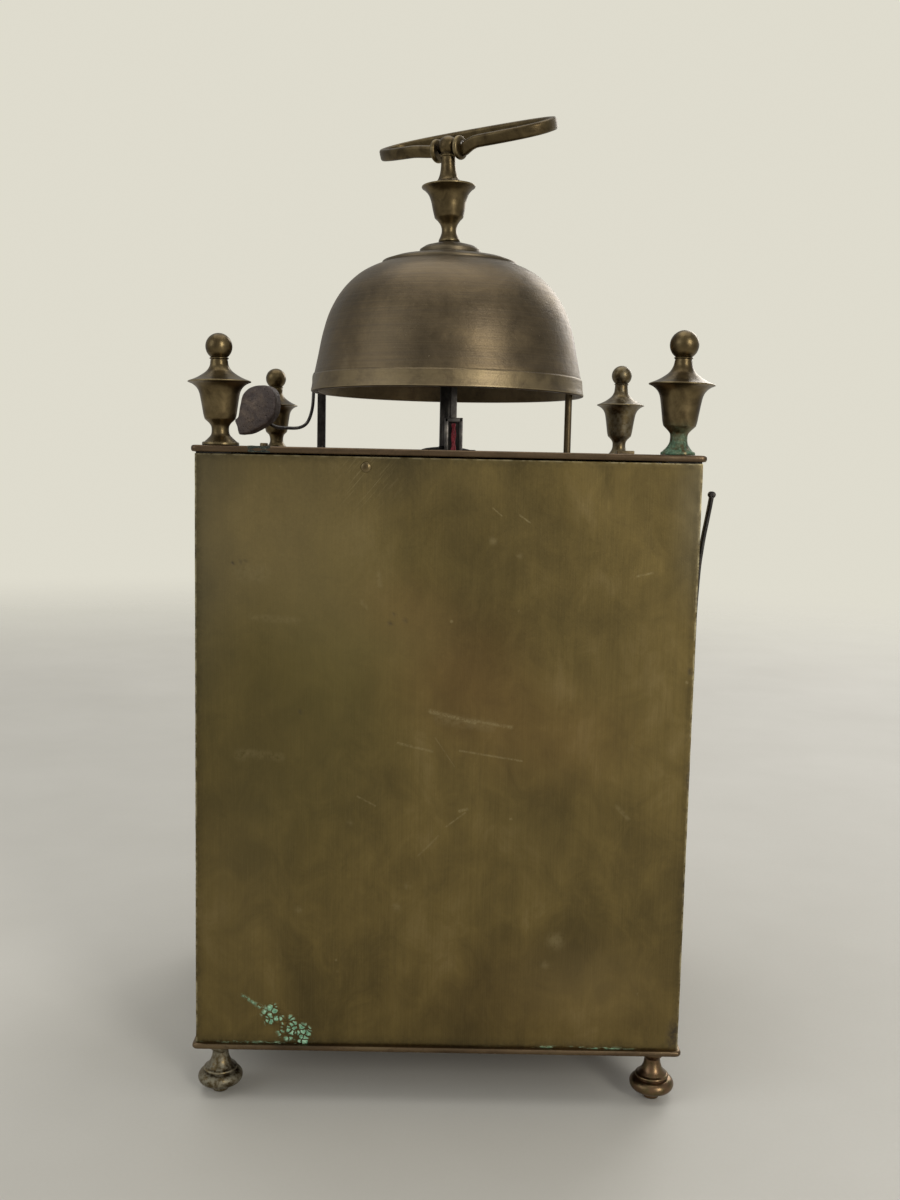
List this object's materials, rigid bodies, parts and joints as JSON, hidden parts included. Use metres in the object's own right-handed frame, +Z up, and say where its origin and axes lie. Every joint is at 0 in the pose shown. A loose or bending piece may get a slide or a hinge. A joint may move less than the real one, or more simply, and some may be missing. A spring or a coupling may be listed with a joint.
{
  "type": "lantern clock",
  "caption": "Square brass travelling lantern clock with a bell and outside hammer on top, turned finials and feet, a carrying handle, doors, dial and spring movement.",
  "frame": {"origin": "on the table, under the middle of the case", "axes": "+Z up; the dial faces -Y and the plain back panel faces +Y, so +X is on the right seen from the dial"},
  "size_m": [0.139, 0.1217, 0.2722],
  "materials": {
    "old_sheet_brass": "aged brown-green rolled brass, brushed",
    "plate_brass": "dull brown brass",
    "dark_steel": "blackened old steel",
    "turned_brass": "turned brass gone brown in the grooves",
    "bell_bronze": "grey-brown bell bronze with fine turning lines",
    "wheel_brass": "cleaner movement brass",
    "white_enamel": "white enamel on copper",
    "crystal": "clear domed glass",
    "red_silk": "red silk thread",
    "rusty_iron": "pitted, rusty iron"
  },
  "bodies": {
    "clock_case": {"bottom_plate": "plate_brass", "top_plate": "plate_brass", "corner_posts": "dark_steel", "front_plate": "old_sheet_brass", "back_panel": "old_sheet_brass", "back_panel_screw": "dark_steel", "finial_back_left": "turned_brass", "finial_back_right": "turned_brass", "finial_front_left": "turned_brass", "finial_front_right": "turned_brass", "feet": "turned_brass", "bell_pillar": "dark_steel", "bell": "bell_bronze", "bell_finial": "turned_brass", "handle_pin": "dark_steel", "dial": "white_enamel", "bezel_hinge": "dark_steel", "door_pins": "dark_steel", "movement_front_plate": "plate_brass", "movement_back_plate": "plate_brass", "movement_pillars": "plate_brass", "seat_rails": "dark_steel", "mainsprings": "dark_steel", "suspension_bracket": "dark_steel", "hammer_cocks": "dark_steel"},
    "handle": {"handle": "dark_steel"},
    "bezel": {"bezel": "turned_brass", "dial_glass": "crystal"},
    "side_door_left": {"side_door_left": "old_sheet_brass"},
    "side_door_right": {"side_door_right": "old_sheet_brass"},
    "going_barrel": {"going_barrel": "wheel_brass"},
    "going_arbor": {"going_arbor": "dark_steel"},
    "going_click": {"going_click": "dark_steel"},
    "strike_barrel": {"strike_barrel": "wheel_brass"},
    "strike_arbor": {"strike_arbor": "dark_steel"},
    "strike_click": {"strike_click": "dark_steel"},
    "centre": {"centre_wheel": "wheel_brass"},
    "third": {"third_wheel": "wheel_brass"},
    "escape": {"escape_wheel": "wheel_brass"},
    "cannon": {"cannon_pinion": "wheel_brass", "minute_hand": "dark_steel"},
    "minute_wheel": {"minute_wheel": "wheel_brass"},
    "hour": {"hour_wheel": "wheel_brass", "hour_hand": "dark_steel"},
    "alarm_setting": {"alarm_hand": "turned_brass"},
    "pin_wheel": {"pin_wheel": "wheel_brass"},
    "locking_wheel": {"locking_wheel": "wheel_brass"},
    "fly": {"fly": "wheel_brass"},
    "count_wheel": {"count_wheel": "wheel_brass"},
    "pendulum": {"pendulum_rod": "dark_steel", "pendulum_bob": "turned_brass", "rating_nut": "turned_brass", "silk_thread": "red_silk"},
    "anchor": {"anchor": "wheel_brass"},
    "hour_hammer": {"hour_hammer_arbor": "dark_steel", "hour_hammer_wire": "dark_steel", "hour_hammer_head": "rusty_iron"},
    "alarm_barrel": {"alarm_barrel": "wheel_brass"},
    "alarm_hammer": {"alarm_hammer": "dark_steel"},
    "repeat_lever": {"repeat_lever": "dark_steel"}
  },
  "joints": [
    {"name": "handle_swing", "type": "hinge", "parent": "clock_case", "child": "handle", "pos_m": [0.00199, 0, 0.26165], "axis": [-0.809, 0.5878, 0], "range_deg": [-42, 170]},
    {"name": "bezel_swing", "type": "hinge", "parent": "clock_case", "child": "bezel", "pos_m": [-0.05175, -0.05895, 0.1104], "axis": [0, 0, -1], "range_deg": [0, 110]},
    {"name": "side_door_left_swing", "type": "hinge", "parent": "clock_case", "child": "side_door_left", "pos_m": [0.06195, -0.0462, 0.0939], "axis": [0, 0, -1], "range_deg": [0, 95]},
    {"name": "side_door_right_swing", "type": "hinge", "parent": "clock_case", "child": "side_door_right", "pos_m": [-0.06195, -0.0462, 0.0939], "axis": [0, 0, 1], "range_deg": [0, 95]},
    {"name": "going_barrel_turn", "type": "hinge", "parent": "clock_case", "child": "going_barrel", "pos_m": [-0.021, -0.021, 0.0984], "axis": [0, 1, 0], "continuous": true},
    {"name": "centre_turn", "type": "hinge", "parent": "clock_case", "child": "centre", "pos_m": [0, -0.021, 0.1104], "axis": [0, 1, 0], "continuous": true},
    {"name": "third_turn", "type": "hinge", "parent": "clock_case", "child": "third", "pos_m": [-0.013, -0.021, 0.12493], "axis": [0, 1, 0], "continuous": true},
    {"name": "escape_turn", "type": "hinge", "parent": "clock_case", "child": "escape", "pos_m": [-0.0013, -0.021, 0.13802], "axis": [0, 1, 0], "continuous": true},
    {"name": "minute_hand_turn", "type": "hinge", "parent": "clock_case", "child": "cannon", "pos_m": [0, -0.045, 0.1104], "axis": [0, 1, 0], "continuous": true},
    {"name": "minute_wheel_turn", "type": "hinge", "parent": "clock_case", "child": "minute_wheel", "pos_m": [0, -0.04, 0.1248], "axis": [0, 1, 0], "continuous": true},
    {"name": "hour_hand_turn", "type": "hinge", "parent": "clock_case", "child": "hour", "pos_m": [0, -0.05, 0.1104], "axis": [0, 1, 0], "continuous": true},
    {"name": "going_winding", "type": "hinge", "parent": "clock_case", "child": "going_arbor", "pos_m": [-0.021, -0.03, 0.0984], "axis": [0, -1, 0], "continuous": true},
    {"name": "going_click_lift", "type": "hinge", "parent": "clock_case", "child": "going_click", "pos_m": [-0.0305, -0.0381, 0.1024], "axis": [0, -1, 0], "range_deg": [0, 12], "stiffness_Nm_per_rad": 0.0005},
    {"name": "strike_barrel_turn", "type": "hinge", "parent": "clock_case", "child": "strike_barrel", "pos_m": [0.021, -0.021, 0.0984], "axis": [0, 1, 0], "continuous": true},
    {"name": "pin_wheel_turn", "type": "hinge", "parent": "clock_case", "child": "pin_wheel", "pos_m": [0.033, -0.02, 0.11773], "axis": [0, 1, 0], "continuous": true},
    {"name": "locking_wheel_turn", "type": "hinge", "parent": "clock_case", "child": "locking_wheel", "pos_m": [0.024, -0.02, 0.13065], "axis": [0, 1, 0], "continuous": true},
    {"name": "fly_turn", "type": "hinge", "parent": "clock_case", "child": "fly", "pos_m": [0.0145, -0.02, 0.13862], "axis": [0, 1, 0], "continuous": true},
    {"name": "count_wheel_turn", "type": "hinge", "parent": "clock_case", "child": "count_wheel", "pos_m": [0.033, -0.003, 0.10373], "axis": [0, 1, 0], "continuous": true},
    {"name": "strike_winding", "type": "hinge", "parent": "clock_case", "child": "strike_arbor", "pos_m": [0.021, -0.03, 0.0984], "axis": [0, -1, 0], "continuous": true},
    {"name": "strike_click_lift", "type": "hinge", "parent": "clock_case", "child": "strike_click", "pos_m": [0.0305, -0.0381, 0.1024], "axis": [0, 1, 0], "range_deg": [0, 12], "stiffness_Nm_per_rad": 0.0005},
    {"name": "pendulum_swing", "type": "hinge", "parent": "clock_case", "child": "pendulum", "pos_m": [-0.0013, 0.011, 0.1819], "axis": [0, 1, 0], "range_deg": [-3.5, 3.5]},
    {"name": "anchor_rock", "type": "hinge", "parent": "clock_case", "child": "anchor", "pos_m": [-0.0013, -0.016, 0.1534], "axis": [0, 1, 0], "range_deg": [-6.2, 6.2]},
    {"name": "hour_hammer_swing", "type": "hinge", "parent": "clock_case", "child": "hour_hammer", "pos_m": [0.04, -0.02, 0.1732], "axis": [0, 0, 1], "range_deg": [-8, 21], "stiffness_Nm_per_rad": 0.0006},
    {"name": "alarm_hammer_rock", "type": "hinge", "parent": "clock_case", "child": "alarm_hammer", "pos_m": [-0.0354, 0, 0.1732], "axis": [0, 0, 1], "range_deg": [-14, 3]},
    {"name": "alarm_barrel_turn", "type": "hinge", "parent": "clock_case", "child": "alarm_barrel", "pos_m": [-0.0354, -0.02, 0.1304], "axis": [0, 1, 0], "continuous": true},
    {"name": "alarm_setting_turn", "type": "hinge", "parent": "clock_case", "child": "alarm_setting", "pos_m": [0, -0.052, 0.1104], "axis": [0, 1, 0], "continuous": true},
    {"name": "repeat_lever_pull", "type": "hinge", "parent": "clock_case", "child": "repeat_lever", "pos_m": [-0.0596, 0.0504, 0.1154], "axis": [0, -1, 0], "range_deg": [0, 10], "stiffness_Nm_per_rad": 0.003}
  ],
  "couplings": [
    {"joint": "centre_turn", "follows": "going_barrel_turn", "ratio": -6},
    {"joint": "third_turn", "follows": "going_barrel_turn", "ratio": 72},
    {"joint": "escape_turn", "follows": "going_barrel_turn", "ratio": -864},
    {"joint": "minute_hand_turn", "follows": "going_barrel_turn", "ratio": -6},
    {"joint": "minute_wheel_turn", "follows": "going_barrel_turn", "ratio": 2},
    {"joint": "hour_hand_turn", "follows": "going_barrel_turn", "ratio": -0.5},
    {"joint": "pin_wheel_turn", "follows": "strike_barrel_turn", "ratio": -6},
    {"joint": "locking_wheel_turn", "follows": "strike_barrel_turn", "ratio": 64},
    {"joint": "fly_turn", "follows": "strike_barrel_turn", "ratio": -597.33},
    {"joint": "count_wheel_turn", "follows": "strike_barrel_turn", "ratio": 1},
    {"joint": "anchor_rock", "follows": "pendulum_swing", "ratio": 1.77}
  ]
}
